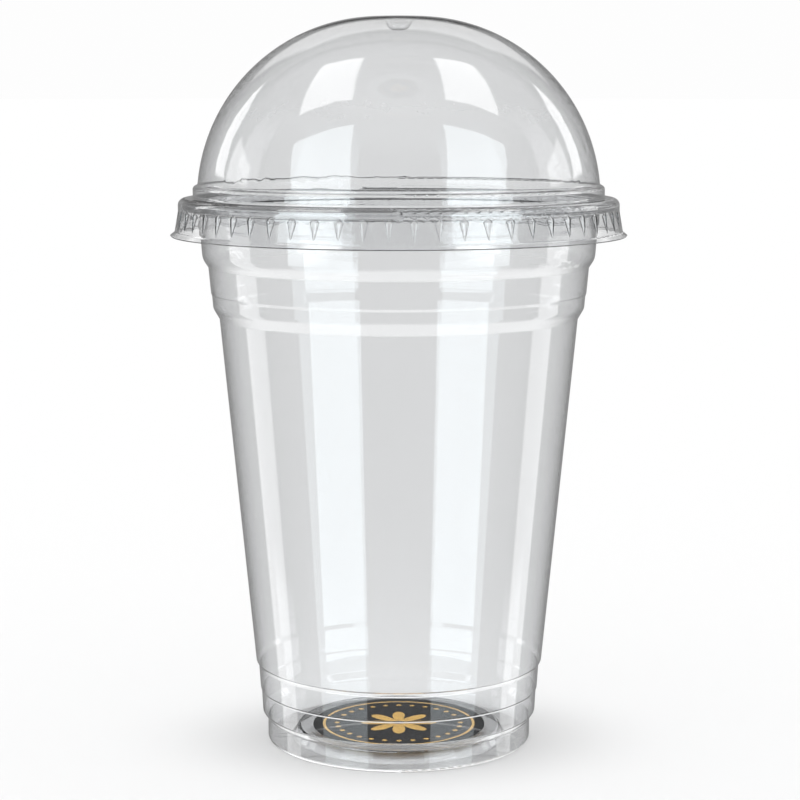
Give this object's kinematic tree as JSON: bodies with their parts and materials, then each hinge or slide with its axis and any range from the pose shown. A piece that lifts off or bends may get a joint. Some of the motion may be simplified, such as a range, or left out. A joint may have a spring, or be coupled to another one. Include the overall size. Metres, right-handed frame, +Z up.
{
  "type": "plastic cup with lid",
  "caption": "Clear plastic drinks cup with a tapered wall, stacking ledges and a rolled rim, and a lift-off domed lid with a fluted skirt.",
  "frame": {"origin": "middle of the foot ring, on the surface that the cup stands on", "axes": "+Z up along the cup's axis, towards the lid"},
  "size_m": [0.1036, 0.1036, 0.1662],
  "materials": {
    "clear_cup": "clear and glossy",
    "clear_lid": "clear and glossy",
    "label": "black film with a gold print"
  },
  "bodies": {
    "cup": {"cup": "clear_cup", "base_label": "label"},
    "lid": {"dome_lid": "clear_lid"}
  },
  "joints": [
    {"name": "lid_lift", "type": "slide", "parent": "cup", "child": "lid", "axis": [0, 0, 1], "range_m": [0, 0.06]}
  ]
}
